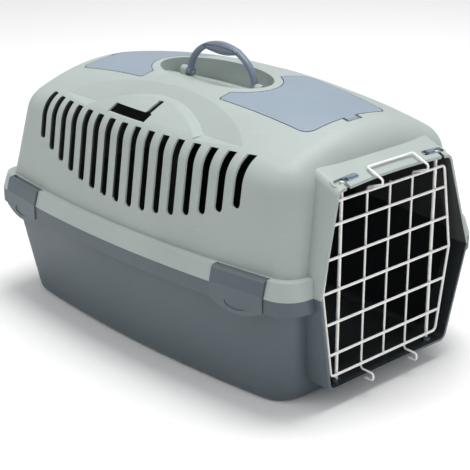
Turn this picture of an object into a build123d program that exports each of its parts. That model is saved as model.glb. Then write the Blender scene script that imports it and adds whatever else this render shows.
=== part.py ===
"""Pet transport carrier: base tub, clipped-on top shell, wire door, two lidded roof pockets.

Frame: X runs along the carrier with the door at +X, Y across it, Z up, in millimetres.
The origin is the middle of the flat underside.
"""
from build123d import *
from math import atan2, cos, degrees, radians, sin, sqrt, tan
import os

# ---------------------------------------------------------------- driving dimensions
rim_length = 600.0          # over the parting rim, front to back
rim_width = 396.0           # over the parting rim at its widest, half way along
rim_level = 153.7           # height of the parting face between tub and shell
crown_height = 349.0        # highest line of the roof
side_bow = 25.0             # how far the long sides belly out between their ends
end_bow = 6.0               # the same for the short ends
rim_corner = 36.0           # plan radius of the rim corners
wall = 2.6                  # moulded wall thickness

# shell and tub bodies
body_inset = 12.0           # rim outer face to body wall, at the parting face
floor_length = rim_length - 76.0    # flat underside of the tub
floor_width = rim_width - 74.0
floor_bow = 17.0
floor_corner = 40.0
floor_rounding = 12.0       # radius round the underside
shell_draft = 8.0           # lean of the shell sides, degrees
shell_corner = 58.0         # plan radius of the shell corners at crown height
roof_long_radius = 1200.0   # roof arch seen from the side
roof_cross_radius = 300.0   # roof arch seen from the end
shoulder = 40.0             # radius from roof to sides

# parting rim
tub_band = 18.5             # depth of the tub rim skirt
shell_band = 21.0           # height of the shell rim skirt
shell_band_lean = 6.0       # how far that skirt leans in over its height
rim_web = 3.0               # flat webs that join the skirts to the walls

# door collar, a six-sided ring that stands out of the front
collar_wall = 3.2
collar_bottom = 24.6        # underside of the sill
collar_top = 277.0          # top corners, at the collar's nominal front
collar_arch = 4.3           # rise of the top edge between its corners
collar_half_bottom = 108.5
collar_half_waist = 135.7
collar_half_top = 101.7
collar_round = 11.0
collar_front_waist = rim_length / 2 + 7.8   # front edge at the parting face
collar_front_bottom = collar_front_waist - 7.0
collar_front_top = collar_front_waist - 8.1
collar_slope = 23.0         # fall of the collar's top towards the front, degrees
collar_knee = rim_length / 2 - 38.0         # where that slope starts
collar_root = rim_length / 2 - 84.0         # rear end of the collar, inside the body

# door
mesh_plane = collar_front_waist - 15.0      # centre plane of the frame and cross wires
mesh_wire = 3.4
rod_diameter = 4.4
spring_wire = 2.8
weld_sink = 0.05            # crossing wires are welded, a hair into each other
rod_spread = 84.7           # hinge rods, from the middle
spring_spread = 40.8        # uprights of the latch wire
frame_top = 262.0
frame_bottom = 38.5
frame_waist = 150.6
frame_half_top = 97.6
frame_half_waist = 116.0
frame_half_bottom = 97.7
frame_bend = 6.0
first_cross = 233.4         # height of the top cross wire
cross_pitch = 41.5
cross_count = 5
rod_clearance = 0.1         # radial, rod in its socket
rod_slot_clearance = 0.6    # radial, rod in the slots it swings out of
loop_back = collar_front_waist - 19.6       # latch wire: back of its loop on the collar
loop_front = collar_front_waist + 4.7       # and front, round the collar's edge
loop_level = collar_top + 12.5
hook_front = collar_front_waist + 2.8       # its hooks round the sill
hook_low = collar_bottom - 4.4
latch_bend = 2.8            # bends at the loop
hook_bend = 4.2             # bends at the hooks

# vents
vent_count = 16
vent_pitch = 25.6
vent_width = 12.5
vent_low = 201.0            # lowest slot end, in the middle of the row
vent_rise = 41.0            # how much higher the outermost slot ends are
vent_top_margin = 4.0       # slot tops below the ledge
shoulder_start = 88.0       # side cuts start this far from the middle

# shoulder recess above the vents, its pad and the belt slot
ledge_level = crown_height - 43.0
ledge_line = rim_width / 2 - 67.0   # back of the ledge, from the middle
ledge_fall = 6.0            # outward fall of the ledge, degrees
recess_lean = 33.0          # slope of the recess floor, degrees
pad_half = 104.0
pad_height = 21.0
belt_gap = 9.0
belt_upright_at = 8.0
belt_upright_top = ledge_level + 20.0
belt_run_rear = -58.0
belt_run_front = 16.0
belt_run_level = ledge_level + 4.5  # middle of the run

# handle and its dish
handle_y = -5.0
handle_half = 62.0          # pivot eyes, from the middle
handle_reach = 50.0         # pivot to the outside of the grip
handle_width = 7.6
handle_thick = 9.0
handle_eye = 6.2            # radius of the pivot eyes
handle_pin = 5.0            # diameter
grip_half = 39.0
grip_depth = 17.0
grip_panel = 1.6            # depth of the panel sunk in each side of the grip
grip_rim = 8.0              # rim left round that panel
pin_clearance = 0.1
side_clearance = 0.4
dish_half_length = 98.0
dish_half_width = 47.0
dish_y = -16.0
dish_drop = 22.5            # crown to dish floor below the pivots
dish_slope = 14.0           # the floor rises towards the folding side, degrees
boss_length = 11.0

# lids and roof pockets
lid_thick = 2.5
lid_gap = 1.5
lid_inner = 76.0            # X of the lid corners next to the handle
lid_outer = rim_length / 2 - 81.0
lid_half_inner = 79.0
lid_half_outer = 70.0
lid_corner = 16.0
lid_bow = 1.5               # the outer edge bows out this far
lid_bite_length = 110.0     # half axes of the rounded bite that clears the dish
lid_bite_width = 61.0
lid_ledge = 2.8             # shelf under the lid
pocket_margin = 11.0
pocket_floor = crown_height - 45.0
tongue_half = 9.0
hinge_notch_half = 13.5
lid_knuckle = 2.9
lid_axis_out = 6.5          # lid edge to hinge axis
lid_pin = 2.4
hinge_back_gap = 2.8        # room behind the knuckle for the tongue to swing into

# side clips
clip_at = rim_length / 2 - 82.0     # middle of each clip along the rim
clip_half = 40.0
clip_plate = 3.0
clip_proud = 1.4            # plate stands this far outside the rim
clip_gap = 0.6
clip_tail = 11.0            # how far the finger tail hangs below the tub band
clip_hook = 3.4             # reach of the hook under the tub band
clip_hook_thick = 2.6
clip_hook_gap = 1.0
clip_barrel = 5.2           # radius of the hinge barrel
clip_pin = 2.6              # diameter
clip_axis_in = 7.5          # rim face to hinge axis
clip_axis_up = 15.9         # parting face to hinge axis
clip_ear = 3.6              # rib that carries each pin end
finger_half = 17.0
finger_height = 6.5

# lock sliders beside the rod tops
slider_length = 22.0
slider_width = 8.4
slider_thick = 3.0
slider_travel = 8.0
slider_gap = 0.3
notch_clearance = 0.35      # radial, rod in the slider's notch
trough_inner = 58.0         # ends of the trough, from the middle
trough_outer = 97.0
trough_depth = 3.3
trough_floor = 2.4
stem_width = 3.0
stem_length = 6.0
stem_inset = 5.0            # stem sits this far inwards of the slider's middle
foot_length = 11.0
foot_wide = 7.0
foot_thick = 1.6

# rod seats on the sill
seat_radius = rod_diameter / 2 + 3.8
seat_height = 4.4

os.makedirs("parts", exist_ok=True)


# ---------------------------------------------------------------- shared forms
def bowed_plan(length, width, bow, corner, level):
    """A rectangle with bellied sides and rounded corners, at one height."""
    x = length / 2 - end_bow
    y = width / 2 - bow
    with BuildSketch(Plane.XY.offset(level)) as plan:
        with BuildLine():
            ThreePointArc((-x, -y), (0, -width / 2), (x, -y))
            ThreePointArc((x, -y), (length / 2, 0), (x, y))
            ThreePointArc((x, y), (0, width / 2), (-x, y))
            ThreePointArc((-x, y), (-length / 2, 0), (-x, -y))
        make_face()
        fillet(plan.vertices(), corner)
    return plan.sketch


def rim_plan(inset, level):
    """The rim's plan, moved in by inset."""
    length = rim_length - 2 * inset
    width = rim_width - 2 * inset
    return bowed_plan(length, width, side_bow, rim_corner - inset, level)


def crown_solid(inset):
    """Everything below the roof: a cross arch swept along the roof's long arch."""
    half_angle = 20.0
    hub = crown_height - roof_long_radius
    tilt = radians(half_angle)
    section = Plane(origin=(0, 0, hub), x_dir=(0, 1, 0), z_dir=(cos(tilt), 0, sin(tilt)))
    top = roof_long_radius - inset
    radius = roof_cross_radius - inset
    half = rim_width / 2 + inset
    edge = top - radius + sqrt(radius**2 - half**2)
    floor = top - crown_height
    with BuildPart() as crown:
        with BuildSketch(section):
            with BuildLine():
                ThreePointArc((-half, edge), (0, top), (half, edge))
                Polyline((half, edge), (half, floor), (-half, floor), (-half, edge))
            make_face()
        revolve(axis=Axis((0, 0, hub), (0, 1, 0)), revolution_arc=2 * half_angle)
    return crown.part


def shell_form(inset):
    """The shell's body as a solid, moved in by inset on every side."""
    top_level = crown_height + 20
    lean = (top_level - rim_level) * tan(radians(shell_draft))
    low = body_inset + inset
    high = low + lean
    crown = crown_solid(inset)
    high_length = rim_length - 2 * high
    high_width = rim_width - 2 * high
    with BuildPart() as form:
        low_plan = rim_plan(low, rim_level)
        high_plan = bowed_plan(high_length, high_width, side_bow, shell_corner - inset, top_level)
        loft([low_plan, high_plan])
        add(crown, mode=Mode.INTERSECT)
        roof_edges = form.edges().filter_by(lambda e: e.center().Z > ledge_level - 50)
        roof_edges = roof_edges.filter_by(lambda e: abs((e @ 0).Z - (e @ 1).Z) < 30)
        fillet(roof_edges, shoulder - inset)
    return form.part


def half_space_prism(points, plane, reach):
    """An outline extruded both ways from a plane."""
    with BuildPart() as prism:
        with BuildSketch(plane):
            Polygon(*points, align=None)
        extrude(amount=reach, both=True)
    return prism.part


def roof_height(x, y):
    """Height of the roof surface away from its rounded edges."""
    arch = roof_long_radius - roof_cross_radius + sqrt(roof_cross_radius**2 - y**2)
    return crown_height - roof_long_radius + sqrt(arch**2 - x**2)


def both_sides(solid):
    """A solid and its mirror image across the carrier."""
    return [solid, mirror(solid, about=Plane.XZ)]


# ---------------------------------------------------------------- shoulder recesses
def recess_form(inset):
    """The wedge that hollows the -Y shoulder above the vents, moved in by inset."""
    lean = radians(recess_lean)
    back = -ledge_line + inset * sin(lean) - inset * (1 - cos(lean)) / tan(lean)
    level = ledge_level - inset
    far = -rim_width / 2 - 30
    high = crown_height + 30
    drop = (far - back) * tan(radians(ledge_fall))
    points = [
        (back, level),
        (far, level + drop),
        (far, high),
        (back + (high - level) / tan(lean), high),
    ]
    return half_space_prism(points, Plane.YZ, rim_length / 2)


def pad_form(inset):
    """The lens of full shell left standing in the middle of the recess, moved in by inset."""
    half = pad_half - 3 * inset
    low = ledge_level - 30
    top = ledge_level + pad_height - inset
    with BuildPart() as pad:
        with BuildSketch(Plane.XZ):
            with BuildLine():
                Polyline((-half, ledge_level), (-half, low), (half, low), (half, ledge_level))
                ThreePointArc((half, ledge_level), (0, top), (-half, ledge_level))
            make_face()
        extrude(amount=rim_width / 2 + 30)
    return pad.part


def belt_slot():
    """L-shaped slot through the pad, for a seat belt."""
    with BuildPart() as slot:
        with BuildSketch(Plane.XZ.offset(shoulder_start)):
            with Locations((belt_upright_at, (belt_run_level + belt_upright_top) / 2)):
                Rectangle(belt_gap, belt_upright_top - belt_run_level)
            with Locations(((belt_run_rear + belt_run_front) / 2, belt_run_level)):
                Rectangle(belt_run_front - belt_run_rear, belt_gap)
        extrude(amount=rim_width / 2 - shoulder_start + 30)
    return slot.part


def vent_row():
    """Upright slots under the ledge, their round ends along a smile."""
    top = ledge_level - vent_top_margin
    middle = (vent_count - 1) / 2
    with BuildPart() as row:
        with BuildSketch(Plane.XZ.offset(shoulder_start)):
            for index in range(vent_count):
                x = (index - middle) * vent_pitch
                low = vent_low + vent_rise * ((index - middle) / middle) ** 2
                end = low + vent_width / 2
                with Locations((x, (end + top) / 2)):
                    Rectangle(vent_width, top - end)
                with Locations((x, end)):
                    Circle(vent_width / 2)
        extrude(amount=rim_width / 2 - shoulder_start + 30)
    return row.part


# ---------------------------------------------------------------- door collar
def collar_top_at(x):
    """Height of the collar's top corners at one place along X."""
    reach = rim_length / 2 - max(x, collar_knee)
    return collar_top + reach * tan(radians(collar_slope))


def collar_section(x, inset):
    """Six-sided section of the collar at one X."""
    low = collar_bottom + inset
    high = collar_top_at(x) - inset
    half_low = collar_half_bottom - inset
    half_waist = collar_half_waist - inset
    half_high = collar_half_top - inset
    with BuildSketch(Plane.YZ.offset(x)) as section:
        with BuildLine():
            Polyline((half_high, high), (half_waist, rim_level), (half_low, low))
            Line((half_low, low), (-half_low, low))
            Polyline((-half_low, low), (-half_waist, rim_level), (-half_high, high))
            ThreePointArc((-half_high, high), (0, high + collar_arch), (half_high, high))
        make_face()
        fillet(section.vertices(), collar_round - inset)
    return section.sketch


def collar_form(inset, reach):
    """The collar as a solid, from its root out to X = reach."""
    root = collar_root - 20 * (inset > 0)
    with BuildPart() as collar:
        loft([collar_section(root, inset), collar_section(collar_knee, inset)], ruled=True)
        loft([collar_section(collar_knee, inset), collar_section(reach, inset)], ruled=True)
    return collar.part


def front_trim():
    """Everything in front of the collar's edge, which leans back above and below the waist."""
    low_lean = (collar_front_waist - collar_front_bottom) / (rim_level - collar_bottom)
    high_lean = (collar_front_waist - collar_front_top) / (collar_top - rim_level)
    top = crown_height + 50
    points = [
        (collar_front_waist - rim_level * low_lean, 0),
        (collar_front_waist, rim_level),
        (collar_front_waist - (top - rim_level) * high_lean, top),
        (collar_front_waist + 40, top),
        (collar_front_waist + 40, 0),
    ]
    return half_space_prism(points, Plane.XZ, rim_width)


def level_slab(low, high):
    """A wide slab between two heights."""
    with BuildPart() as slab:
        with BuildSketch(Plane.XY.offset(low)):
            Rectangle(2 * rim_length, 2 * rim_width)
        extrude(amount=high - low)
    return slab.part


# ---------------------------------------------------------------- clip places
bow_half = rim_length / 2 - end_bow
bow_radius = (bow_half**2 + side_bow**2) / (2 * side_bow)
clip_turn = degrees(atan2(clip_at, sqrt(bow_radius**2 - clip_at**2)))
clip_rim_y = -rim_width / 2 + bow_radius - sqrt(bow_radius**2 - clip_at**2)
clip_turn_x = cos(radians(clip_turn))
clip_turn_y = sin(radians(clip_turn))
clip_plane = Plane(
    origin=(clip_at, clip_rim_y, rim_level),
    x_dir=(clip_turn_x, clip_turn_y, 0),
    z_dir=(0, 0, 1),
)
clip_side_plane = Plane(
    origin=clip_plane.origin,
    x_dir=clip_plane.y_dir,
    z_dir=clip_plane.x_dir,
)


def at_four_clips(solid):
    """A solid made at the front -Y clip, copied to all four."""
    front = both_sides(solid)
    rear = [mirror(piece, about=Plane.YZ) for piece in front]
    return front + rear


def clip_block(half, inner, outer, low, high):
    """A block in the clip's own frame: half length, depth range and height range."""
    with BuildPart() as block:
        with BuildSketch(clip_plane.offset(low)):
            with Locations((0, (inner + outer) / 2)):
                Rectangle(2 * half, abs(outer - inner))
        extrude(amount=high - low)
    return block.part


def clip_rod(radius, half, hollow=0.0):
    """A round bar along the clip's hinge axis."""
    with BuildPart() as bar:
        with BuildSketch(clip_side_plane):
            with Locations((clip_axis_in, clip_axis_up)):
                Circle(radius)
                if hollow:
                    Circle(hollow, mode=Mode.SUBTRACT)
        extrude(amount=half, both=True)
    return bar.part


# ---------------------------------------------------------------- handle dish
dish_floor = crown_height - dish_drop
dish_rise = tan(radians(dish_slope))
handle_level = dish_floor + (handle_eye + side_clearance) / cos(radians(dish_slope))


def dish_form(inset):
    """Oval dish with a floor that climbs to the roof on the folding side."""
    floor_at_pivot = dish_floor - inset / cos(radians(dish_slope))
    far = rim_width / 2
    points = [
        (-far, floor_at_pivot + (far + handle_y) * dish_rise),
        (far, floor_at_pivot - (far - handle_y) * dish_rise),
        (far, crown_height + 60),
        (-far, crown_height + 60),
    ]
    above_floor = half_space_prism(points, Plane.YZ, dish_half_length + inset + 1)
    with BuildPart() as dish:
        with BuildSketch(Plane.XY.offset(dish_floor - 60)):
            with Locations((0, dish_y)):
                Ellipse(dish_half_length + inset, dish_half_width + inset)
        extrude(amount=120)
        add(above_floor, mode=Mode.INTERSECT)
    return dish.part


def pivot_bosses():
    """Blocks that stand on the dish floor outside the handle's eyes."""
    start = handle_half + handle_width / 2 + side_clearance
    boss_half = handle_eye
    with BuildPart() as bosses:
        for side in (-1, 1):
            with BuildSketch(Plane.YZ.offset(side * (start + boss_length / 2))):
                with Locations((handle_y, handle_level - 10)):
                    Rectangle(2 * boss_half, 20)
                with Locations((handle_y, handle_level)):
                    Circle(boss_half)
            extrude(amount=boss_length / 2, both=True)
    return bosses.part


def handle_bar_pair(radius, length, start=0.0):
    """Two round bars on the handle's pivot line, one for each eye, measured from the eyes' outer faces."""
    inner = handle_half + handle_width / 2 + side_clearance + start
    with BuildPart() as bars:
        for side in (-1, 1):
            with BuildSketch(Plane.YZ.offset(side * (inner + length / 2))):
                with Locations((handle_y, handle_level)):
                    Circle(radius)
            extrude(amount=length / 2, both=True)
    return bars.part


# ---------------------------------------------------------------- roof lids and pockets
lid_axis_x = lid_outer + lid_axis_out
lid_axis_level = roof_height(lid_axis_x, 0) - lid_knuckle - 0.3


def lid_outline_prism(grow):
    """Upright prism on the front lid's outline, grown all round."""
    x_in = lid_inner - grow
    x_out = lid_outer + grow
    y_in = lid_half_inner + grow
    y_out = lid_half_outer + grow
    with BuildPart() as prism:
        with BuildSketch(Plane.XY.offset(crown_height - 60)) as outline:
            with BuildLine():
                Polyline((x_out, y_out), (x_in, y_in), (x_in, -y_in), (x_out, -y_out))
                ThreePointArc((x_out, -y_out), (x_out + lid_bow, 0), (x_out, y_out))
            make_face()
            fillet(outline.vertices().group_by(Axis.X)[-1], lid_corner)
            fillet(outline.vertices().group_by(Axis.X)[0], 4)
            with Locations((0, dish_y)):
                Ellipse(lid_bite_length - grow, lid_bite_width - grow, mode=Mode.SUBTRACT)
        extrude(amount=120)
    return prism.part


def hinge_notch():
    """Hole beyond the lid's outer edge, for its tongue."""
    back = lid_axis_x + lid_knuckle + hinge_back_gap
    with BuildPart() as notch:
        with BuildSketch(Plane.XY.offset(lid_axis_level - 20)):
            with Locations(((lid_outer - 2 + back) / 2, 0)):
                Rectangle(back - lid_outer + 2, 2 * hinge_notch_half)
        extrude(amount=60)
    return notch.part


def hinge_block():
    """Thick patch under the roof that carries the lid pin."""
    half = hinge_notch_half + 5
    low = lid_axis_level - lid_pin / 2 - 2
    with BuildPart() as block:
        with BuildSketch(Plane.XY.offset(low)):
            with Locations((lid_axis_x, 0)):
                Rectangle(2 * lid_knuckle + 8, 2 * half)
        extrude(amount=crown_height + 60 - low)
    return block.part


def lid_bar(radius, half):
    """A round bar on the lid's hinge axis."""
    with BuildPart() as bar:
        with BuildSketch(Plane.XZ):
            with Locations((lid_axis_x, lid_axis_level)):
                Circle(radius)
        extrude(amount=half, both=True)
    return bar.part


def pocket_form(grow):
    """The pocket under the front lid, grown by a wall for its outside."""
    x_in = lid_bite_length + pocket_margin - grow
    x_out = lid_outer - pocket_margin + grow
    half = lid_half_outer - pocket_margin + grow
    low = pocket_floor - grow
    with BuildPart() as pocket:
        with BuildSketch(Plane.XY.offset(low)) as outline:
            with Locations(((x_in + x_out) / 2, 0)):
                RectangleRounded(x_out - x_in, 2 * half, 10 + grow)
        extrude(amount=crown_height + 60 - low)
    return pocket.part


under_lid = crown_solid(lid_thick + 0.2)
under_shelf = crown_solid(lid_thick + 0.2 + lid_ledge)


def front_and_rear(solid):
    """A solid at the front and its mirror image at the rear."""
    return [solid, mirror(solid, about=Plane.YZ)]


# ---------------------------------------------------------------- lock troughs
rod_plane = mesh_plane - mesh_wire / 2 - rod_diameter / 2 + weld_sink
spring_plane = mesh_plane - mesh_wire / 2 - spring_wire / 2 + weld_sink


def collar_surface_plane(y):
    """Plane on the collar's top at the rods, Z square to the surface and X outwards."""
    corner = collar_top_at(rod_plane)
    fall = collar_arch / collar_half_top**2
    height = corner + collar_arch - fall * y**2
    slope_x = tan(radians(collar_slope))
    slope_y = 2 * fall * y
    outwards = 1 if y > 0 else -1
    return Plane(
        origin=(rod_plane, y, height),
        x_dir=(0, outwards, -outwards * slope_y),
        z_dir=(slope_x, slope_y, 1),
    )


trough_plane = collar_surface_plane(-(trough_inner + trough_outer) / 2)
trough_middle = (trough_inner + trough_outer) / 2


def trough_bar(length, width, low, high, shift=0.0):
    """A round-ended bar in the trough's frame, shifted outwards along it."""
    with BuildPart() as bar:
        with BuildSketch(trough_plane.offset(low)):
            with Locations((shift, 0)):
                SlotOverall(length, width)
        extrude(amount=high - low)
    return bar.part


trough_length = trough_outer - trough_inner
trough_width = slider_width + 2 * slider_gap
slider_rest = rod_spread - rod_diameter / 2 - 0.5 - slider_length / 2 - trough_middle
stem_slot_length = stem_length + slider_travel + 2 * slider_gap
stem_slot_shift = slider_rest - stem_inset + slider_travel / 2


def rod_exit():
    """Slot from the -Y rod's top out through the collar's front edge."""
    width = rod_diameter + 2 * rod_slot_clearance
    low = collar_top - 12
    with BuildPart() as exit_slot:
        with BuildSketch(Plane.XY.offset(low)):
            with Locations((rod_plane, -rod_spread)):
                Circle(width / 2)
            with Locations((rod_plane + 20, -rod_spread)):
                Rectangle(40, width)
        extrude(amount=40)
    return exit_slot.part


# ---------------------------------------------------------------- collar and rim
collar_reach = collar_front_waist + 8
collar_bore = collar_form(collar_wall, collar_reach + 20)
collar_outside = collar_form(0, collar_reach) - front_trim()
above_parting = level_slab(rim_level, crown_height + 60)
below_parting = level_slab(-1, rim_level)


def band(low_inset, high_inset, low, high):
    """A solid band between two heights, following the rim."""
    with BuildPart() as ring:
        loft([rim_plan(low_inset, low), rim_plan(high_inset, high)])
    return ring.part


# ---------------------------------------------------------------- base tub
band_floor = rim_level - tub_band
seat_level = collar_bottom + collar_wall
skirt_recess = clip_plate - clip_proud + clip_gap
clip_bay = clip_half + clip_gap


def tub_form(inset):
    """The tub's body as a solid, moved in by inset."""
    length = floor_length - 2 * inset
    width = floor_width - 2 * inset
    underside = bowed_plan(length, width, floor_bow, floor_corner - inset, inset)
    with BuildPart() as form:
        loft([underside, rim_plan(body_inset + inset, rim_level)])
        fillet(form.faces().sort_by(Axis.Z)[0].edges(), floor_rounding - inset)
    return form.part


def rod_seat(side):
    """Round seat on the sill for one rod's lower end."""
    with BuildPart() as seat:
        with BuildSketch(Plane.XY.offset(seat_level - 1)):
            with Locations((rod_plane, side * rod_spread)):
                Circle(seat_radius)
        extrude(amount=seat_height + 1)
    return seat.part


def rod_hole(side, radius, length):
    """Upright hole for a rod, opened forwards by length."""
    with BuildPart() as hole:
        with BuildSketch(Plane.XY.offset(seat_level + 0.2)):
            with Locations((rod_plane, side * rod_spread)):
                Circle(radius)
            if length:
                with Locations((rod_plane + length / 2, side * rod_spread)):
                    Rectangle(length, 2 * radius)
        extrude(amount=seat_height + 1)
    return hole.part


skirt_patch = clip_block(clip_half + 4, skirt_recess, skirt_recess + wall, -tub_band, -1)
skirt_bay = clip_block(clip_bay, -5, skirt_recess, -tub_band - 1, 1)

with BuildPart() as base_tub:
    add(band(0, 0, band_floor, rim_level))
    add(band(wall, wall, band_floor - 1, rim_level - rim_web), mode=Mode.SUBTRACT)
    for patch in at_four_clips(skirt_patch):
        add(patch)
    for bay in at_four_clips(skirt_bay):
        add(bay, mode=Mode.SUBTRACT)
    add(tub_form(0))
    add(collar_outside & below_parting)
    add(tub_form(wall), mode=Mode.SUBTRACT)
    add(collar_bore, mode=Mode.SUBTRACT)
    add(rod_seat(-1))
    add(rod_seat(1))
    add(rod_hole(1, rod_diameter / 2 + rod_clearance, 0), mode=Mode.SUBTRACT)
    add(rod_hole(-1, rod_diameter / 2 + rod_slot_clearance, 20), mode=Mode.SUBTRACT)
base_tub.part.label = "base_tub"
export_step(base_tub.part, "parts/base_tub.step")


# ---------------------------------------------------------------- top shell
shell_outside = shell_form(0)
for recess in both_sides(recess_form(0) - pad_form(0)):
    shell_outside = shell_outside - recess
shell_outside = shell_outside - dish_form(0)

shell_cavity = shell_form(wall)
for recess in both_sides(recess_form(wall) - pad_form(wall)):
    shell_cavity = shell_cavity - recess
shell_cavity = shell_cavity - dish_form(wall)
for block in front_and_rear(hinge_block()):
    shell_cavity = shell_cavity - block
for shelf in front_and_rear(lid_outline_prism(lid_gap + 3) - under_shelf):
    shell_cavity = shell_cavity - shelf
for tray in front_and_rear(pocket_form(wall)):
    shell_cavity = shell_cavity - tray

trough_pad = trough_bar(trough_length + 7, trough_width + 7, -trough_depth - trough_floor, -0.5)
trough = trough_bar(trough_length, trough_width, -trough_depth, 10)
stem_slot = trough_bar(stem_slot_length, stem_width + 2 * slider_gap, -15, 1, stem_slot_shift)

ear_outer = clip_block(clip_bay + clip_ear, -1, body_inset + 2, 0, shell_band)
ear_inner = clip_block(clip_bay, -2, body_inset + 3, -1, shell_band + 1)
clip_bay_cut = clip_block(clip_bay, -3, body_inset + wall, -1, shell_band + 1)
shell_band_solid = band(0, shell_band_lean, rim_level, rim_level + shell_band)
shell_band_hollow = band(wall, shell_band_lean + wall, rim_level - 1, rim_level + shell_band - rim_web)

with BuildPart() as top_shell:
    add(shell_band_solid)
    add(shell_band_hollow, mode=Mode.SUBTRACT)
    for ear in at_four_clips((ear_outer - ear_inner) & shell_band_solid):
        add(ear)
    for bay in at_four_clips(clip_bay_cut):
        add(bay, mode=Mode.SUBTRACT)
    add(shell_outside)
    add(collar_outside & above_parting)
    add(shell_cavity, mode=Mode.SUBTRACT)
    add(collar_bore, mode=Mode.SUBTRACT)
    for lump in both_sides(trough_pad):
        add(lump)
    for cut in both_sides(trough):
        add(cut, mode=Mode.SUBTRACT)
    for cut in both_sides(stem_slot):
        add(cut, mode=Mode.SUBTRACT)
    for cut in both_sides(rod_exit()):
        add(cut, mode=Mode.SUBTRACT)
    for cut in both_sides(vent_row()):
        add(cut, mode=Mode.SUBTRACT)
    for cut in both_sides(belt_slot()):
        add(cut, mode=Mode.SUBTRACT)
    for cut in at_four_clips(clip_rod(clip_pin / 2, clip_bay + clip_ear)):
        add(cut, mode=Mode.SUBTRACT)
    for cut in front_and_rear(lid_outline_prism(lid_gap) - under_lid):
        add(cut, mode=Mode.SUBTRACT)
    for cut in front_and_rear(pocket_form(0)):
        add(cut, mode=Mode.SUBTRACT)
    for cut in front_and_rear(hinge_notch()):
        add(cut, mode=Mode.SUBTRACT)
    for cut in front_and_rear(lid_bar(lid_pin / 2, hinge_notch_half + 3.5)):
        add(cut, mode=Mode.SUBTRACT)
    add(pivot_bosses())
    add(handle_bar_pair(handle_pin / 2, boss_length - 2), mode=Mode.SUBTRACT)
top_shell.part.label = "top_shell"
export_step(top_shell.part, "parts/top_shell.step")


# ---------------------------------------------------------------- carry handle
arch_plane = Plane(origin=(0, handle_y, handle_level), x_dir=(1, 0, 0), z_dir=(0, -1, 0))
with BuildPart() as carry_handle:
    with BuildSketch(arch_plane):
        Ellipse(handle_half + handle_width / 2, handle_reach)
        Ellipse(handle_half - handle_width / 2, handle_reach - handle_width, mode=Mode.SUBTRACT)
        with Locations((0, -handle_reach)):
            Rectangle(4 * handle_half, 2 * handle_reach, mode=Mode.SUBTRACT)
        with Locations((0, handle_reach - grip_depth / 2)):
            Ellipse(grip_half, grip_depth / 2)
    extrude(amount=handle_thick / 2, both=True)
    for side in (-1, 1):
        face_y = handle_y + side * handle_thick / 2
        with BuildSketch(Plane.XZ.offset(-face_y)):
            with Locations((0, handle_level + handle_reach - grip_depth / 2)):
                Ellipse(grip_half - grip_rim, grip_depth / 2 - grip_rim / 2)
        extrude(amount=grip_panel, both=True, mode=Mode.SUBTRACT)
        with BuildSketch(Plane.YZ.offset(side * handle_half)):
            with Locations((handle_y, handle_level)):
                Circle(handle_eye)
        extrude(amount=handle_width / 2, both=True)
    with BuildSketch(Plane.YZ):
        with Locations((handle_y, handle_level)):
            Circle(handle_pin / 2 + pin_clearance)
    extrude(amount=2 * handle_half, both=True, mode=Mode.SUBTRACT)
carry_handle.part.label = "carry_handle"
export_step(carry_handle.part, "parts/carry_handle.step")

handle_pin_start = 0.3 - handle_width - side_clearance
with BuildPart() as handle_pivot_pins:
    add(handle_bar_pair(handle_pin / 2, boss_length - 2 - handle_pin_start, handle_pin_start))
handle_pivot_pins.part.label = "handle_pivot_pins"
export_step(handle_pivot_pins.part, "parts/handle_pivot_pins.step")


# ---------------------------------------------------------------- roof lids
def lid_tongue_prism():
    """Upright prism on the tongue, from inside the lid out to the hinge axis."""
    start = lid_outer - 4
    with BuildPart() as prism:
        with BuildSketch(Plane.XY.offset(crown_height - 60)):
            with Locations(((start + lid_axis_x) / 2, 0)):
                Rectangle(lid_axis_x - start, 2 * tongue_half)
        extrude(amount=120)
    return prism.part


roof_skin = crown_solid(0) - crown_solid(lid_thick)

with BuildPart() as front_lid:
    add(roof_skin & lid_outline_prism(0))
    add(roof_skin & lid_tongue_prism())
    add(lid_bar(lid_knuckle, tongue_half))
    add(lid_bar(lid_pin / 2 + pin_clearance, 2 * tongue_half), mode=Mode.SUBTRACT)
front_lid.part.label = "front_lid"
export_step(front_lid.part, "parts/front_lid.step")

with BuildPart() as rear_lid:
    add(mirror(front_lid.part, about=Plane.YZ))
rear_lid.part.label = "rear_lid"
export_step(rear_lid.part, "parts/rear_lid.step")

with BuildPart() as lid_hinge_pins:
    for pin in front_and_rear(lid_bar(lid_pin / 2, hinge_notch_half + 3.5)):
        add(pin)
lid_hinge_pins.part.label = "lid_hinge_pins"
export_step(lid_hinge_pins.part, "parts/lid_hinge_pins.step")


# ---------------------------------------------------------------- side clips
clip_inner_face = clip_plate - clip_proud
clip_low = -tub_band - clip_tail
hook_high = -tub_band - clip_hook_gap
clip_face_plane = Plane(
    origin=clip_plane.origin,
    x_dir=clip_plane.x_dir,
    z_dir=-clip_plane.y_dir,
)
barrel_side = clip_axis_in - clip_barrel

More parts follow.
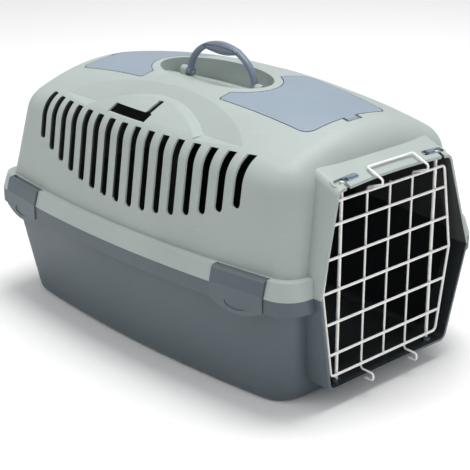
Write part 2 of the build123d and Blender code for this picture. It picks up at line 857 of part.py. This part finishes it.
with BuildPart() as clip_blank:
    with BuildSketch(clip_side_plane):
        Polygon(
            (-clip_proud, clip_low),
            (clip_inner_face, clip_low),
            (clip_inner_face, hook_high - clip_hook_thick),
            (skirt_recess + clip_hook, hook_high - clip_hook_thick),
            (skirt_recess + clip_hook, hook_high),
            (clip_inner_face, hook_high),
            (clip_inner_face, 1.5),
            (clip_axis_in, clip_axis_up - clip_plate),
            (clip_axis_in, clip_axis_up),
            (barrel_side + 0.2, clip_axis_up + 1.3),
            (-clip_proud, 2.0),
            align=None,
        )
        with Locations((clip_axis_in, clip_axis_up)):
            Circle(clip_barrel)
            Circle(clip_pin / 2 + pin_clearance, mode=Mode.SUBTRACT)
    extrude(amount=clip_half, both=True)
    with BuildSketch(clip_face_plane):
        with BuildLine():
            Polyline(
                (-clip_half, -tub_band),
                (-clip_half, shell_band + 5),
                (clip_half, shell_band + 5),
                (clip_half, -tub_band),
            )
            ThreePointArc((clip_half, -tub_band), (0, clip_low), (-clip_half, -tub_band))
        make_face()
    extrude(amount=20, both=True, mode=Mode.INTERSECT)
    with BuildSketch(clip_face_plane.offset(clip_proud)):
        with Locations((0, -tub_band + 1)):
            Ellipse(finger_half, finger_height)
    extrude(amount=-1.0, mode=Mode.SUBTRACT)

clip_names = ["front_near_clip", "front_far_clip", "rear_near_clip", "rear_far_clip"]
for clip_name, clip_solid in zip(clip_names, at_four_clips(clip_blank.part)):
    with BuildPart() as side_clip:
        add(clip_solid)
    side_clip.part.label = clip_name
    export_step(side_clip.part, f"parts/{clip_name}.step")

with BuildPart() as clip_hinge_pins:
    for pin in at_four_clips(clip_rod(clip_pin / 2, clip_bay + clip_ear)):
        add(pin)
clip_hinge_pins.part.label = "clip_hinge_pins"
export_step(clip_hinge_pins.part, "parts/clip_hinge_pins.step")


# ---------------------------------------------------------------- wire door
def frame_half_at(level):
    """Half width of the door frame's centre line at one height."""
    if level > frame_waist:
        share = (frame_top - level) / (frame_top - frame_waist)
        return frame_half_top + share * (frame_half_waist - frame_half_top)
    share = (level - frame_bottom) / (frame_waist - frame_bottom)
    return frame_half_bottom + share * (frame_half_waist - frame_half_bottom)


def straight_wire(start, end, diameter):
    """A straight round wire between two points."""
    with BuildPart() as wire:
        with BuildLine() as run:
            Line(start, end)
        with BuildSketch(Plane(origin=run.line @ 0, z_dir=run.line % 0)):
            Circle(diameter / 2)
        sweep()
    return wire.part


with BuildPart() as door_frame_wire:
    with BuildLine() as frame_path:
        FilletPolyline(
            (mesh_plane, -frame_half_top, frame_top),
            (mesh_plane, -frame_half_waist, frame_waist),
            (mesh_plane, -frame_half_bottom, frame_bottom),
            (mesh_plane, frame_half_bottom, frame_bottom),
            (mesh_plane, frame_half_waist, frame_waist),
            (mesh_plane, frame_half_top, frame_top),
            radius=frame_bend,
            close=True,
        )
    with BuildSketch(Plane(origin=frame_path.line @ 0, z_dir=frame_path.line % 0)):
        Circle(mesh_wire / 2)
    sweep()
door_frame_wire.part.label = "door_frame_wire"
export_step(door_frame_wire.part, "parts/door_frame_wire.step")

for index in range(cross_count):
    level = first_cross - index * cross_pitch
    half = frame_half_at(level) - mesh_wire / 2 + weld_sink
    with BuildPart() as cross_wire:
        add(straight_wire((mesh_plane, -half, level), (mesh_plane, half, level), mesh_wire))
    cross_wire.part.label = f"door_cross_wire_{index + 1}"
    export_step(cross_wire.part, f"parts/door_cross_wire_{index + 1}.step")

with BuildPart() as door_centre_wire:
    add(
        straight_wire(
            (spring_plane, 0, frame_bottom - mesh_wire / 2),
            (spring_plane, 0, frame_top + mesh_wire / 2),
            spring_wire,
        )
    )
door_centre_wire.part.label = "door_centre_wire"
export_step(door_centre_wire.part, "parts/door_centre_wire.step")

rod_low = seat_level + 0.4
rod_high = trough_plane.origin.Z - 1.2
for rod_name, side in [("hinge_rod", 1), ("closing_rod", -1)]:
    with BuildPart() as rod:
        add(
            straight_wire(
                (rod_plane, side * rod_spread, rod_low),
                (rod_plane, side * rod_spread, rod_high),
                rod_diameter,
            )
        )
    rod.part.label = rod_name
    export_step(rod.part, f"parts/{rod_name}.step")

# latch wire: hooks under the sill's edge, uprights, and a loop over the collar's top edge
latch_over_sill = seat_level + spring_wire / 2 + 0.4
latch_side = [
    (collar_front_bottom - 4.0, hook_low),
    (hook_front, hook_low),
    (hook_front, latch_over_sill),
    (spring_plane, latch_over_sill),
    (spring_plane, frame_top + 3.5),
    (loop_front, collar_top - 3.5),
    (loop_front, collar_top + 2.5),
    (loop_back, loop_level),
]
latch_points = [(x, -spring_spread, z) for x, z in latch_side]
latch_points += [(x, spring_spread, z) for x, z in reversed(latch_side)]
latch_side_bends = 4 * [hook_bend] + 3 * [latch_bend]
latch_bends = latch_side_bends + latch_side_bends[::-1]

with BuildPart() as latch_wire:
    with BuildLine() as latch_path:
        FilletPolyline(*latch_points, radius=latch_bends)
    with BuildSketch(Plane(origin=latch_path.line @ 0, z_dir=latch_path.line % 0)):
        Circle(spring_wire / 2)
    sweep()
latch_wire.part.label = "latch_wire"
export_step(latch_wire.part, "parts/latch_wire.step")


# ---------------------------------------------------------------- lock sliders
def slider_block(length, width, low, high, shift):
    """A block with rounded corners in the trough's frame."""
    with BuildPart() as block:
        with BuildSketch(trough_plane.offset(low)):
            with Locations((shift, 0)):
                RectangleRounded(length, width, 1.2)
        extrude(amount=high - low)
    return block.part


def lock_slider(shift):
    """Slider with a notched outer end, a stem through the floor slot and a foot below it."""
    middle = slider_rest + shift
    under_floor = -trough_depth - trough_floor - slider_gap
    notch_at = -rod_spread + slider_travel - shift
    body_floor = -slider_thick
    notch_width = rod_diameter + 2 * notch_clearance
    with BuildPart() as slider:
        add(slider_block(slider_length, slider_width, body_floor, 0, middle))
        add(slider_block(12, 3, -1, 1, middle - stem_inset))
        add(slider_block(stem_length, stem_width, under_floor - 1, body_floor + 1, middle - stem_inset))
        add(slider_block(foot_length, foot_wide, under_floor - foot_thick, under_floor, middle - stem_inset))
        with BuildSketch(Plane.XY.offset(collar_top - 10)):
            with Locations((rod_plane, notch_at - slider_length / 2 + notch_width / 2)):
                RectangleRounded(notch_width, slider_length, notch_width / 2 - 0.1)
        extrude(amount=40, mode=Mode.SUBTRACT)
    return slider.part


with BuildPart() as near_lock_slider:
    add(lock_slider(0))
near_lock_slider.part.label = "near_lock_slider"
export_step(near_lock_slider.part, "parts/near_lock_slider.step")

with BuildPart() as far_lock_slider:
    add(mirror(lock_slider(slider_travel), about=Plane.XZ))
far_lock_slider.part.label = "far_lock_slider"
export_step(far_lock_slider.part, "parts/far_lock_slider.step")
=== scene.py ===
"""Pet transport carrier: finishes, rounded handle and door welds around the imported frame."""
import math
import bmesh
import bpy
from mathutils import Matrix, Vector


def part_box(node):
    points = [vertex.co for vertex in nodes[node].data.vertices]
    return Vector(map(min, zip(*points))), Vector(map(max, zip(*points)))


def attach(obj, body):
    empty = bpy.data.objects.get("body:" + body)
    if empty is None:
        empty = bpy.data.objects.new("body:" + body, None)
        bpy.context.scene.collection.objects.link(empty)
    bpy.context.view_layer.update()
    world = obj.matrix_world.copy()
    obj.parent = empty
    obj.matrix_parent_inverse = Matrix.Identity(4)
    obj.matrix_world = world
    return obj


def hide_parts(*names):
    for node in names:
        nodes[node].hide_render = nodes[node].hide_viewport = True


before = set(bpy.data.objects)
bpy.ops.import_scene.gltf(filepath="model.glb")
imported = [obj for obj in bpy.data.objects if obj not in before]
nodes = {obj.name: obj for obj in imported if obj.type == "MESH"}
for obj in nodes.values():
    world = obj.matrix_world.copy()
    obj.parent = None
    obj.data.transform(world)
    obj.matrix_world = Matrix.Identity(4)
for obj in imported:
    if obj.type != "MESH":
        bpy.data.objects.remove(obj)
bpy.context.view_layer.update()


# ---------------------------------------------------------------- shader sockets
class Signal:
    """A shader output, with Python's operators."""

    def __init__(self, finish, socket):
        self.finish = finish
        self.socket = socket

    def _maths(self, operation, first, second):
        return self.finish.add("ShaderNodeMath", {"operation": operation}, {0: first, 1: second})

    def __add__(self, other):
        return self._maths("ADD", self, other)

    def __radd__(self, other):
        return self._maths("ADD", other, self)

    def __sub__(self, other):
        return self._maths("SUBTRACT", self, other)

    def __rsub__(self, other):
        return self._maths("SUBTRACT", other, self)

    def __mul__(self, other):
        return self._maths("MULTIPLY", self, other)

    def __rmul__(self, other):
        return self._maths("MULTIPLY", other, self)

    def __lt__(self, other):
        return self._maths("LESS_THAN", self, other)


class Finish:
    """One material and the nodes that make it."""

    def __init__(self, name):
        self.material = bpy.data.materials.new(name)
        self.material.use_nodes = True
        self.tree = self.material.node_tree
        self.tree.nodes.clear()
        self.place = self.add("ShaderNodeTexCoord", {}, {}, "Object")

    def add(self, kind, settings, values, output=0):
        """Adds a node: its settings, then a value or link for each socket."""
        node = self.tree.nodes.new(kind)
        for key, value in settings.items():
            if key == "stops":
                ramp = node.color_ramp
                for element, (position, level) in zip(ramp.elements, value):
                    element.position = position
                    element.color = (level, level, level, 1)
            else:
                setattr(node, key, value)
        for key, value in values.items():
            if isinstance(value, Signal):
                self.tree.links.new(value.socket, node.inputs[key])
            else:
                node.inputs[key].default_value = value
        return Signal(self, node.outputs[output])

    def noise(self, scale, detail=2.0, stretch=(1, 1, 1)):
        """Noise on the piece's own coordinates, from 0 to 1."""
        place = self.add("ShaderNodeMapping", {}, {"Vector": self.place, "Scale": stretch})
        return self.add(
            "ShaderNodeTexNoise", {}, {"Vector": place, "Scale": scale, "Detail": detail}
        )

    def ramp(self, value, low, high):
        """0 below low, 1 above high."""
        return self.add("ShaderNodeMapRange", {}, {"Value": value, 1: low, 2: high})

    def blend(self, factor, first, second):
        """Colour between two colours."""
        return self.add(
            "ShaderNodeMix", {"data_type": "RGBA"}, {0: factor, 6: first, 7: second}, 2
        )

    def bump(self, height, strength, distance, under=None):
        """Relief from a height signal, laid over another relief where one is given."""
        values = {"Height": height, "Strength": strength, "Distance": distance}
        if under is not None:
            values["Normal"] = under
        return self.add("ShaderNodeBump", {}, values)

    def shade(self, colour, roughness, normal, **constants):
        """The surface shader and the material's output."""
        values = {"Base Color": colour, "Roughness": roughness, "Normal": normal}
        for key, value in constants.items():
            values[key.replace("_", " ")] = value
        surface = self.add("ShaderNodeBsdfPrincipled", {}, values)
        end = self.tree.nodes.new("ShaderNodeOutputMaterial")
        self.tree.links.new(surface.socket, end.inputs[0])
        return self.material


def tint(colour, share):
    """A colour made lighter (share over 1) or darker, with its alpha."""
    return tuple(min(1.0, part * share) for part in colour[:3]) + (1.0,)


# ---------------------------------------------------------------- finishes
# Painted shade: faces that look into the cabin get a darkened base colour, standing in for the
# shade that fills the cabin.
CABIN_MIDDLE = (0.0, 0.0, 0.16)     # faces turned towards this point are inside the cabin
CABIN_TOP = 0.300                   # and no face above this height is


def moulded_plastic(name, colour, rough, grain=1.0, paint_cabin_shade=False):
    """Injection-moulded plastic: fine spark grain, slow mottle, rubbed patches and thin scuffs,
    plus painted shade on the faces that look into the cabin when asked for.
    """
    f = Finish(name)
    mottle = f.noise(9.0, 3.0)
    cloud = f.noise(2.2, 2.0)
    grit = f.noise(1500.0, 2.0)
    dimple = f.noise(420.0, 1.0)
    streak = f.noise(26.0, 5.0, (1.0, 1.0, 9.0))
    scuff = f.ramp(streak, 0.63, 0.72)
    rubbed = f.ramp(cloud, 0.52, 0.70)
    base = f.blend(f.ramp(mottle, 0.3, 0.7), tint(colour, 0.955), tint(colour, 1.035))
    base = f.blend(f.ramp(grit, 0.40, 0.66) * 0.16, base, tint(colour, 1.30))
    base = f.blend(scuff * 0.14, base, tint(colour, 1.45))
    if paint_cabin_shade:
        # Painted shade: base colour darkened to a tenth on faces turned towards CABIN_MIDDLE and
        # below CABIN_TOP.
        toward = f.add(
            "ShaderNodeVectorMath",
            {"operation": "SUBTRACT"},
            {0: f.place, 1: CABIN_MIDDLE},
        )
        normal = f.add("ShaderNodeNewGeometry", {}, {}, "Normal")
        facing = f.add(
            "ShaderNodeVectorMath", {"operation": "DOT_PRODUCT"}, {0: toward, 1: normal}, "Value"
        )
        height = f.add("ShaderNodeSeparateXYZ", {}, {0: f.place}, 2)
        cabin_shade_mask = f.ramp(0.0 - facing, 0.0, 0.01) * (height < CABIN_TOP)
        base = f.blend(cabin_shade_mask * 0.93, base, tint(colour, 0.10))
    roughness = rough + (grit - 0.5) * 0.10 + scuff * 0.12 - rubbed * 0.07
    normal = f.bump(dimple, 0.10 * grain, 0.0006)
    normal = f.bump(grit, 0.16 * grain, 0.0003, normal)
    return f.shade(base, roughness, normal, IOR=1.49, Specular_IOR_Level=0.42)


def coated_wire(name, colour):
    """Dipped white coating: soft gloss, slight sag ripples and a few grey rubs."""
    f = Finish(name)
    ripple = f.noise(160.0, 2.0)
    rub = f.ramp(f.noise(48.0, 4.0), 0.62, 0.74)
    base = f.blend(f.ramp(ripple, 0.3, 0.7), tint(colour, 0.96), tint(colour, 1.04))
    base = f.blend(rub * 0.22, base, (0.42, 0.42, 0.42, 1))
    roughness = 0.30 + ripple * 0.12 + rub * 0.2
    normal = f.bump(ripple, 0.18, 0.0006)
    return f.shade(base, roughness, normal, IOR=1.5, Coat_Weight=0.25, Coat_Roughness=0.15)


def drawn_steel(name):
    """Cut pins of drawn steel wire."""
    f = Finish(name)
    line = f.noise(300.0, 3.0, (0.1, 1.0, 1.0))
    base = f.blend(line, (0.42, 0.42, 0.43, 1), (0.62, 0.62, 0.63, 1))
    return f.shade(base, 0.28 + line * 0.2, f.bump(line, 0.1, 0.0003), Metallic=1.0)


def pale_floor():
    """Plain pale floor with the faintest mottle."""
    f = Finish("pale_floor")
    base = f.blend(f.noise(3.0), (0.90, 0.90, 0.90, 1), (0.915, 0.915, 0.915, 1))
    return f.shade(base, 0.75 + f.noise(40.0) * 0.1, f.bump(f.noise(200.0), 0.02, 0.001))


SAGE = (0.345, 0.393, 0.376)
SLATE = (0.082, 0.107, 0.123)
LID_BLUE = (0.235, 0.290, 0.350)
HANDLE_BLUE = (0.150, 0.190, 0.245)
WIRE_WHITE = (0.86, 0.86, 0.84)

# Shell and tub both carry painted shade on the faces that look into the cabin.
sage = moulded_plastic("sage_plastic", SAGE, 0.50, paint_cabin_shade=True)
slate = moulded_plastic("slate_plastic", SLATE, 0.48, paint_cabin_shade=True)
clip_slate = moulded_plastic("clip_plastic", tint(SLATE, 1.06), 0.42, 0.8)
lid_blue = moulded_plastic("lid_plastic", LID_BLUE, 0.40, 0.7)
handle_blue = moulded_plastic("handle_plastic", HANDLE_BLUE, 0.38, 0.7)
white_wire = coated_wire("white_coated_wire", WIRE_WHITE)
steel = drawn_steel("pin_steel")

FINISH_OF = {
    "top_shell": sage,
    "base_tub": slate,
    "front_lid": lid_blue,
    "rear_lid": lid_blue,
    "near_lock_slider": handle_blue,
    "far_lock_slider": handle_blue,
    "lid_hinge_pins": steel,
    "clip_hinge_pins": steel,
    "handle_pivot_pins": steel,
}


def paint(piece, material):
    """Gives a piece one material."""
    piece.data.materials.clear()
    piece.data.materials.append(material)


for name, piece in nodes.items():
    if name.endswith("_clip"):
        paint(piece, clip_slate)
    else:
        paint(piece, FINISH_OF.get(name, white_wire))


# ---------------------------------------------------------------- rounded carry handle
def span(low, high, share):
    """The value a share of the way from low to high."""
    return low + (high - low) * share


def swell(t, start, end):
    """Smooth step from 0 at start to 1 at end."""
    share = min(1.0, max(0.0, (t - start) / (end - start)))
    return share * share * (3 - 2 * share)


handle_low, handle_high = (Vector(corner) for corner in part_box("carry_handle"))
EYE_RADIUS = 0.0062
EYE_HOLE = 0.0026
EYE_CHAMFER = 0.0006
EYE_STEPS = 40
ARM_WIDTH = 0.0076
HANDLE_THICK = 0.009
GRIP_DEPTH = 0.017
GRIP_HALF = 0.039
GRIP_SWELL = 1.16           # the grip is this much thicker than the arms
SECTION_SQUARENESS = 0.6    # 1 is an oval section, 0 a square one
ARCH_STEPS = 96
RING_POINTS = 20
arch_half = (handle_high.x - handle_low.x) / 2
arch_middle_y = (handle_low.y + handle_high.y) / 2
pivot_level = handle_low.z + EYE_RADIUS
arch_reach = handle_high.z - pivot_level
OVAL_STEPS = 80
OVAL_HALF = 0.0315          # bead round each oval panel of the grip
OVAL_RISE = 0.0050
OVAL_BEAD = 0.0009
BEAD_SIDES = 8
PANEL_END_GAP = 0.003       # groove between the bead and the panel, at its ends
PANEL_EDGE_GAP = 0.0023     # and along its long edges
PANEL_RISE = 0.0009
PANEL_CROWN = ((1.0, -0.8), (1.0, 0.35), (0.93, 0.75), (0.75, 0.95), (0.35, 1.0))
grip_face = HANDLE_THICK * 0.56
grip_level = pivot_level + arch_reach - GRIP_DEPTH / 2 - 0.0006


def arm_depth(x):
    """Depth of the handle at one place along it: slim arms and an oval grip."""
    oval = 1 - (x / GRIP_HALF) ** 2
    if oval <= 0:
        return ARM_WIDTH
    low = GRIP_DEPTH / 2 * (1 + math.sqrt(oval))
    high = arch_reach * (1 - math.sqrt(max(0.0, 1 - (x / arch_half) ** 2)))
    return max(ARM_WIDTH, low - high)


def handle_ring(t):
    """Points round the handle's section at one turn t of its arch."""
    outer = Vector((arch_half * math.cos(t), 0, arch_reach * math.sin(t)))
    normal = Vector((math.cos(t) / arch_half, 0, math.sin(t) / arch_reach)).normalized()
    depth = arm_depth(outer.x)
    thick = span(HANDLE_THICK, HANDLE_THICK * GRIP_SWELL, swell(depth, ARM_WIDTH, GRIP_DEPTH))
    middle = outer - normal * depth / 2
    ring = []
    for index in range(RING_POINTS):
        turn = 2 * math.pi * index / RING_POINTS
        across = math.copysign(abs(math.cos(turn)) ** SECTION_SQUARENESS, math.cos(turn))
        along = math.copysign(abs(math.sin(turn)) ** SECTION_SQUARENESS, math.sin(turn))
        point = middle + normal * across * depth / 2
        ring.append((point.x, arch_middle_y + along * thick / 2, pivot_level + point.z))
    return ring


def new_piece(name, mesh, material, body):
    """A mesh as a finished piece that rides on a body."""
    piece = bpy.data.objects.new(name, mesh)
    bpy.context.scene.collection.objects.link(piece)
    paint(piece, material)
    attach(piece, body)
    return piece


def skin_rings(mesh_tool, rings, closed=False):
    """Joins rings of points with quads and caps the ends."""
    rows = [[mesh_tool.verts.new(point) for point in ring] for ring in rings]
    count = len(rows[0])
    for first, second in zip(rows, rows[1:] + rows[:1] if closed else rows[1:]):
        for index in range(count):
            following = (index + 1) % count
            mesh_tool.faces.new((first[index], first[following], second[following], second[index]))
    if not closed:
        mesh_tool.faces.new(list(reversed(rows[0])))
        mesh_tool.faces.new(rows[-1])


def eye_rings(side):
    """Rounded eye with its pin hole, as rings round the pivot line."""
    half = ARM_WIDTH / 2
    flat = half - EYE_CHAMFER
    shoulder = EYE_RADIUS - EYE_CHAMFER
    profile = [
        (EYE_HOLE, -half), (shoulder, -half), (EYE_RADIUS, -flat),
        (EYE_RADIUS, flat), (shoulder, half), (EYE_HOLE, half),
    ]
    rings = []
    for index in range(EYE_STEPS):
        turn = 2 * math.pi * index / EYE_STEPS
        rings.append([
            (
                side * (arch_half - ARM_WIDTH / 2) + x,
                arch_middle_y + radius * math.cos(turn),
                pivot_level + radius * math.sin(turn),
            )
            for radius, x in profile
        ])
    return rings


def oval_ring(side, half_length, half_height, wire):
    """Round bead that follows an oval on one face of the grip."""
    rings = []
    for index in range(OVAL_STEPS):
        turn = 2 * math.pi * index / OVAL_STEPS
        x_out = math.cos(turn)
        z_out = math.sin(turn)
        rings.append([
            (
                x_out * (half_length + wire * math.cos(bend)),
                arch_middle_y + side * (grip_face + wire * math.sin(bend)),
                grip_level + z_out * (half_height + wire * math.cos(bend)),
            )
            for bend in (2 * math.pi * step / BEAD_SIDES for step in range(BEAD_SIDES))
        ])
    return rings


def oval_panel(side, half_length, half_height, rise):
    """Low crowned oval plate on one face of the grip."""
    rings = []
    for share, height in PANEL_CROWN:
        rings.append([
            (
                half_length * share * math.cos(2 * math.pi * index / OVAL_STEPS),
                arch_middle_y + side * (grip_face + rise * height),
                grip_level + half_height * share * math.sin(2 * math.pi * index / OVAL_STEPS),
            )
            for index in range(OVAL_STEPS)
        ])
    return rings


def build_mesh(name, ring_sets):
    """One smooth mesh from several sets of rings, each closed on itself or capped."""
    mesh_tool = bmesh.new()
    for rings, closed in ring_sets:
        skin_rings(mesh_tool, rings, closed)
    bmesh.ops.recalc_face_normals(mesh_tool, faces=mesh_tool.faces)
    for face in mesh_tool.faces:
        face.smooth = True
    mesh = bpy.data.meshes.new(name)
    mesh_tool.to_mesh(mesh)
    mesh_tool.free()
    return mesh


arch = [handle_ring(span(0.0, math.pi, step / ARCH_STEPS)) for step in range(ARCH_STEPS + 1)]
panel_half = OVAL_HALF - PANEL_END_GAP
panel_height = OVAL_RISE - PANEL_EDGE_GAP
handle_mesh = build_mesh(
    "rounded_handle",
    [(arch, False)]
    + [(eye_rings(side), True) for side in (-1, 1)]
    + [(oval_ring(side, OVAL_HALF, OVAL_RISE, OVAL_BEAD), True) for side in (-1, 1)]
    + [(oval_panel(side, panel_half, panel_height, PANEL_RISE), False) for side in (-1, 1)],
)
handle = new_piece("rounded_handle", handle_mesh, handle_blue, "handle")
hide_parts("carry_handle")


# ---------------------------------------------------------------- door welds
WELD_SIZE = 0.0021
WELD_SEED = 11
LATCH_WIRE_RADIUS = 0.0014
CROSS_WIRES = 5


def weld_tree():
    """Places a small flattened weld bead on every point it is given."""
    tree = bpy.data.node_groups.new("door_welds", "GeometryNodeTree")
    tree.interface.new_socket("Points", in_out="INPUT", socket_type="NodeSocketGeometry")
    size = tree.interface.new_socket("Bead size", in_out="INPUT", socket_type="NodeSocketFloat")
    seed = tree.interface.new_socket("Seed", in_out="INPUT", socket_type="NodeSocketInt")
    finish = tree.interface.new_socket("Finish", in_out="INPUT", socket_type="NodeSocketMaterial")
    tree.interface.new_socket("Welds", in_out="OUTPUT", socket_type="NodeSocketGeometry")
    source = tree.nodes.new("NodeGroupInput")
    bead = tree.nodes.new("GeometryNodeMeshIcoSphere")
    bead.inputs["Subdivisions"].default_value = 3
    vary = tree.nodes.new("FunctionNodeRandomValue")
    vary.data_type = "FLOAT_VECTOR"
    vary.inputs[0].default_value = (0.85, 0.85, 0.85)
    vary.inputs[1].default_value = (1.0, 1.15, 1.15)
    place = tree.nodes.new("GeometryNodeInstanceOnPoints")
    real = tree.nodes.new("GeometryNodeRealizeInstances")
    smooth = tree.nodes.new("GeometryNodeSetShadeSmooth")
    coat = tree.nodes.new("GeometryNodeSetMaterial")
    end = tree.nodes.new("NodeGroupOutput")
    link = tree.links.new
    link(source.outputs["Points"], place.inputs["Points"])
    link(source.outputs["Bead size"], bead.inputs["Radius"])
    link(source.outputs["Seed"], vary.inputs["Seed"])
    link(bead.outputs["Mesh"], place.inputs["Instance"])
    link(vary.outputs[0], place.inputs["Scale"])
    link(place.outputs[0], real.inputs[0])
    link(real.outputs[0], smooth.inputs["Geometry"])
    link(smooth.outputs[0], coat.inputs["Geometry"])
    link(source.outputs["Finish"], coat.inputs["Material"])
    link(coat.outputs[0], end.inputs[0])
    return tree, size.identifier, seed.identifier, finish.identifier


def middle_of(node):
    """Middle of a CAD node's box."""
    low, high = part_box(node)
    return (Vector(low) + Vector(high)) / 2


weld_points = []
frame_low, frame_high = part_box("door_frame_wire")
latch_low, latch_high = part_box("latch_wire")
wire_half = (frame_high[0] - frame_low[0]) / 2
mesh_x = (frame_high[0] + frame_low[0]) / 2
levels = [middle_of(f"door_cross_wire_{number}").z for number in range(1, CROSS_WIRES + 1)]
levels += [frame_low[2] + wire_half, frame_high[2] - wire_half]
uprights = [middle_of("hinge_rod").y, middle_of("closing_rod").y, middle_of("door_centre_wire").y]
uprights += [latch_low[1] + LATCH_WIRE_RADIUS, latch_high[1] - LATCH_WIRE_RADIUS]
for level in levels:
    for upright in uprights:
        weld_points.append((mesh_x - wire_half, upright, level))
point_mesh = bpy.data.meshes.new("weld_points")
point_mesh.from_pydata(weld_points, [], [])
weld_maker = bpy.data.objects.new("weld_maker", point_mesh)
bpy.context.scene.collection.objects.link(weld_maker)
weld_modifier = weld_maker.modifiers.new("welds", "NODES")
weld_modifier.node_group, size_key, seed_key, finish_key = weld_tree()
weld_modifier[size_key] = WELD_SIZE
weld_modifier[seed_key] = WELD_SEED
weld_modifier[finish_key] = white_wire
evaluated = weld_maker.evaluated_get(bpy.context.evaluated_depsgraph_get())
weld_mesh = bpy.data.meshes.new_from_object(evaluated)
bpy.data.objects.remove(weld_maker)
new_piece("door_welds", weld_mesh, white_wire, "door")


# ---------------------------------------------------------------- floor, lights and camera
FLOOR_HALF = 12.0
FLOOR_DROP = 0.0005         # keeps the floor just clear of the underside
floor_mesh = bpy.data.meshes.new("floor")
floor_mesh.from_pydata(
    [
        (-FLOOR_HALF, -FLOOR_HALF, 0), (FLOOR_HALF, -FLOOR_HALF, 0),
        (FLOOR_HALF, FLOOR_HALF, 0), (-FLOOR_HALF, FLOOR_HALF, 0),
    ],
    [],
    [(0, 1, 2, 3)],
)
floor = bpy.data.objects.new("floor", floor_mesh)
floor.location.z = -FLOOR_DROP
floor.data.materials.append(pale_floor())
bpy.context.scene.collection.objects.link(floor)


def area_light(name, place, aim, size, power):
    """A square soft light that looks at a point."""
    lamp = bpy.data.lights.new(name, "AREA")
    lamp.size = size
    lamp.energy = power
    holder = bpy.data.objects.new(name, lamp)
    holder.location = place
    holder.rotation_euler = (Vector(aim) - Vector(place)).to_track_quat("-Z", "Y").to_euler()
    bpy.context.scene.collection.objects.link(holder)


area_light("key", (-1.2, -2.2, 2.2), (0, 0, 0.15), 1.6, 19)
area_light("front_fill", (3.0, -0.2, 1.6), (0, 0, 0.2), 1.8, 17)
area_light("overhead", (0.0, 0.5, 3.0), (0, 0, 0), 1.9, 84)

SKY_STRENGTH = 0.47
bpy.context.scene.view_settings.view_transform = "Standard"
world = bpy.data.worlds.new("studio")
bpy.context.scene.world = world
world.use_nodes = True
background = world.node_tree.nodes["Background"]
background.inputs["Color"].default_value = (1, 1, 1, 1)
background.inputs["Strength"].default_value = SKY_STRENGTH

LENS = 102.26               # millimetres, on a 36 mm sensor
YAW = math.radians(47.018)
PITCH = math.radians(21.125)
CAMERA_PLACE = (1.2618, -1.1580, 0.7743)
camera_data = bpy.data.cameras.new("camera")
camera_data.lens = LENS
camera_data.sensor_width = 36
camera = bpy.data.objects.new("camera", camera_data)
camera.location = CAMERA_PLACE
look = Vector((
    -math.sin(YAW) * math.cos(PITCH), math.cos(YAW) * math.cos(PITCH), -math.sin(PITCH)
))
camera.rotation_euler = look.to_track_quat("-Z", "Y").to_euler()
bpy.context.scene.collection.objects.link(camera)
bpy.context.scene.camera = camera
